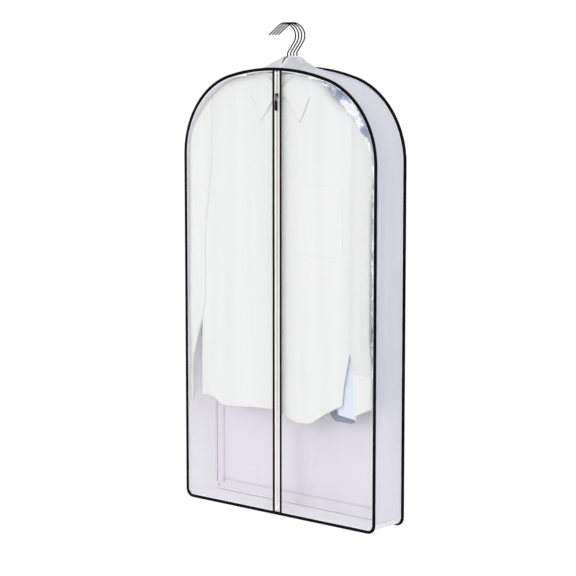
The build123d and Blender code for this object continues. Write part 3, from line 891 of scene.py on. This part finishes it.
def mark_shadow_line(piece, psi, outer_x, outer_z, first_face):
    """Gives the faces along the leaves' outer line a dark grey painted shadow line, from this face on."""
    piece.data.materials.append(COLLAR_SHADOW_LINE)
    faces = piece.data.polygons
    centers = np.empty(len(faces) * 3)
    faces.foreach_get("center", centers)
    centers = np.abs(centers.reshape(-1, 3)[:, ::2])
    near = np.linspace(0, COLLAR_SHOWN, 240)
    line = np.stack([np.interp(near, psi, outer_x), np.abs(np.interp(near, psi, outer_z))], -1)
    away = np.linalg.norm(centers[:, None] - line, axis=-1).min(1)
    rim = (away < COLLAR_SHADOW_WIDTH) & (np.arange(len(faces)) >= first_face)
    faces.foreach_set("material_index", rim.astype(int))


def collar(row, front_cloth, low, high, middle, half_depth, material):
    """The folded collar: a stand round the neck and two leaves that lie on the front."""
    knots = np.array([0.0, 0.12, 0.25, 0.60, 1.00, 1.57, 2.40, pi])
    edge_x = np.array([0.004, 0.033, 0.062, 0.080, 0.096, 0.098, 0.060, 0.0])
    edge_z = APEX_Z - np.array([0.054, 0.090, 0.128, 0.093, 0.061, 0.034, 0.040, 0.044])
    psi = np.unique(np.concatenate([np.linspace(0, pi, 91), knots]))
    fold_x = 0.050 * np.sin(psi)
    fold_y = middle - (half_depth - 0.0004) * np.cos(psi)
    ahead = np.where(psi < pi / 2, 1 - np.sin(psi), 0.0)
    fold_z = arch_z(fold_x, -0.0045) - 0.046 * ahead
    lift = 0.0009 if row in (1, 4) else 0.0006
    outer_x = np.interp(psi, knots, edge_x)
    outer_z = np.interp(psi, knots, edge_z)
    front = 1 - smooth(psi, 1.25, 1.8)
    hits = [front_cloth.ray_cast(Vector((a, -1.0, b)), Vector((0, 1, 0)))[0] for a, b in zip(outer_x, outer_z)]
    tuck = 0.0019 * smooth(psi, 0.85, 1.15)
    rest_y = np.array([h.y if h is not None and h.y < middle else low.y for h in hits]) - lift + tuck
    outer_y = front * rest_y + (1 - front) * (high.y + lift)
    t = np.append(np.linspace(0, 0.975, 36), np.linspace(0.983, 1.0, 3))[:, None]
    x = fold_x * (1 - t) + outer_x * t
    y = fold_y * (1 - t) ** 3 + outer_y * (1 - (1 - t) ** 3) - 0.0016 * np.sin(pi * t) * front
    z = fold_z * (1 - t) + outer_z * t + 0.003 * np.sin(pi * t) * front
    leaf = np.stack([x, y, z], -1)
    drop = np.linspace(1, 0, 6)[:, None][:-1]
    stand_z = fold_z - 0.026 * drop
    stand_y = middle + (fold_y - middle) * (1 - 0.06 * np.sqrt(drop))
    stand = np.stack([fold_x * (1 - 0.05 * drop), stand_y, stand_z], -1)
    half = np.concatenate([stand, leaf])
    other = half[:, ::-1] * np.array([-1.0, 1, 1])
    points = np.concatenate([half, other[:, 1:]], axis=1)
    piece = grid_piece(f"shirt_{row}_collar_cloth", points, "garments", material)
    mark_shadow_line(piece, psi, outer_x, outer_z, (stand.shape[0] + 1) * (points.shape[1] - 1))
    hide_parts(f"shirt_{row}_collar")


def patch(name, front, across, heights, point, rows, columns):
    """A piece of cloth sewn flat on the front, with folded rims and perhaps a pointed lower end."""
    (x0, x1), (z0, z1) = across, heights
    u = np.linspace(0, 1, columns)[None, :]
    v = np.linspace(0, 1, rows)[:, None]
    x = x0 + (x1 - x0) * u + 0 * v
    z = z1 + (z0 - z1) * v - point * (1 - np.abs(2 * u - 1)) * smooth(v, 0.7, 1.0)
    rim = np.minimum(np.minimum(u, 1 - u) * (x1 - x0), np.minimum(v, 1 - v) * (z1 - z0))
    stand = 0.0003 + 0.0008 * smooth(rim, 0.0, 0.0012) - 0.0003 * smooth(rim, 0.004, 0.006)
    hits = [front.ray_cast(Vector((a, -1.0, b)), Vector((0, 1, 0)))[0] for a, b in zip(x.flat, z.flat)]
    y = np.array([h.y for h in hits]).reshape(x.shape) - stand
    piece = grid_piece(name, np.stack([x, y, z], -1), "garments", SHIRT_WHITE)


for number in SHIRTS:
    shirt(number)

# ---- CAD nodes that stay --------------------------------------------------------------

KEPT = {
    "zip_slider": ZIP_METAL,
    "pull_link": LINK_METAL,
    "zip_top_stops": ZIP_STOP,
    "zip_bottom_stop": ZIP_STOP,
    "pull_tab": TAB,
}
for number in (1, 2, 3, 4):
    KEPT[f"hook_{number}"] = DARKENED_CHROME
    KEPT[f"hanger_{number}"] = HANGER
    KEPT[f"shirt_{number}_buttons"] = BUTTON
for node, material in KEPT.items():
    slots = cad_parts[node].material_slots
    for slot in slots:
        slot.material = material

# ---- floor, light and camera ----------------------------------------------------------

FLOOR_Z = BOTTOM_Z - 0.60
FLOOR_HALF = 300.0
floor_mesh = bpy.data.meshes.new("floor")
corners = [(-FLOOR_HALF, -FLOOR_HALF), (FLOOR_HALF, -FLOOR_HALF)]
corners += [(FLOOR_HALF, FLOOR_HALF), (-FLOOR_HALF, FLOOR_HALF)]
floor_mesh.from_pydata([(x, y, FLOOR_Z) for x, y in corners], [], [(0, 1, 2, 3)])
floor = bpy.data.objects.new("floor", floor_mesh)
bpy.context.scene.collection.objects.link(floor)
floor_material, _, floor_shader = principled("floor", (0.995, 0.995, 0.995), 0.9)
floor_mesh.materials.append(floor_material)

world = bpy.data.worlds.new("studio")
world.use_nodes = True
sky = world.node_tree
sky_place = sky.nodes.new("ShaderNodeTexCoord")
sky_axis = sky.nodes.new("ShaderNodeVectorMath")
sky_axis.operation = "DOT_PRODUCT"
sky_axis.inputs[1].default_value = (0.80, -0.60, -0.35)
sky_span = sky.nodes.new("ShaderNodeMapRange")
sky_span.inputs["From Min"].default_value = -0.35
sky_span.inputs["From Max"].default_value = 0.9
sky_span.inputs["To Min"].default_value = 1.02
sky_span.inputs["To Max"].default_value = 0.90
sky.links.new(sky_place.outputs["Generated"], sky_axis.inputs[0])
sky.links.new(sky_axis.outputs["Value"], sky_span.inputs["Value"])
sky.links.new(sky_span.outputs["Result"], sky.nodes["Background"].inputs["Strength"])
sky.nodes["Background"].inputs["Color"].default_value = (1, 1, 1, 1)
bpy.context.scene.world = world
bpy.context.scene.view_settings.view_transform = "Standard"

sun_data = bpy.data.lights.new("key", "SUN")
sun_data.energy = 0.62
sun_data.angle = radians(24)
sun = bpy.data.objects.new("key", sun_data)
sun.rotation_euler = Vector((-0.22, 0.93, -0.34)).to_track_quat("-Z", "Y").to_euler()
bpy.context.scene.collection.objects.link(sun)

# The viewing angle, distance and lens that give the photograph's perspective.
CAMERA_TURN = radians(41.1)
CAMERA_RISE = radians(7.94)
CAMERA_DISTANCE = 5.358
CAMERA_LENS = 136.3
CAMERA_TARGET = Vector((-0.0135, 0.0, BOTTOM_Z + 0.5545))
toward = Vector((sin(CAMERA_TURN) * cos(CAMERA_RISE), -cos(CAMERA_TURN) * cos(CAMERA_RISE), sin(CAMERA_RISE)))
camera_data = bpy.data.cameras.new("camera")
camera_data.lens = CAMERA_LENS
camera_data.sensor_width = 36.0
camera_data.clip_end = 2000.0
camera = bpy.data.objects.new("camera", camera_data)
camera.location = CAMERA_TARGET + toward * CAMERA_DISTANCE
camera.rotation_euler = (-toward).to_track_quat("-Z", "Y").to_euler()
bpy.context.scene.collection.objects.link(camera)
bpy.context.scene.camera = camera
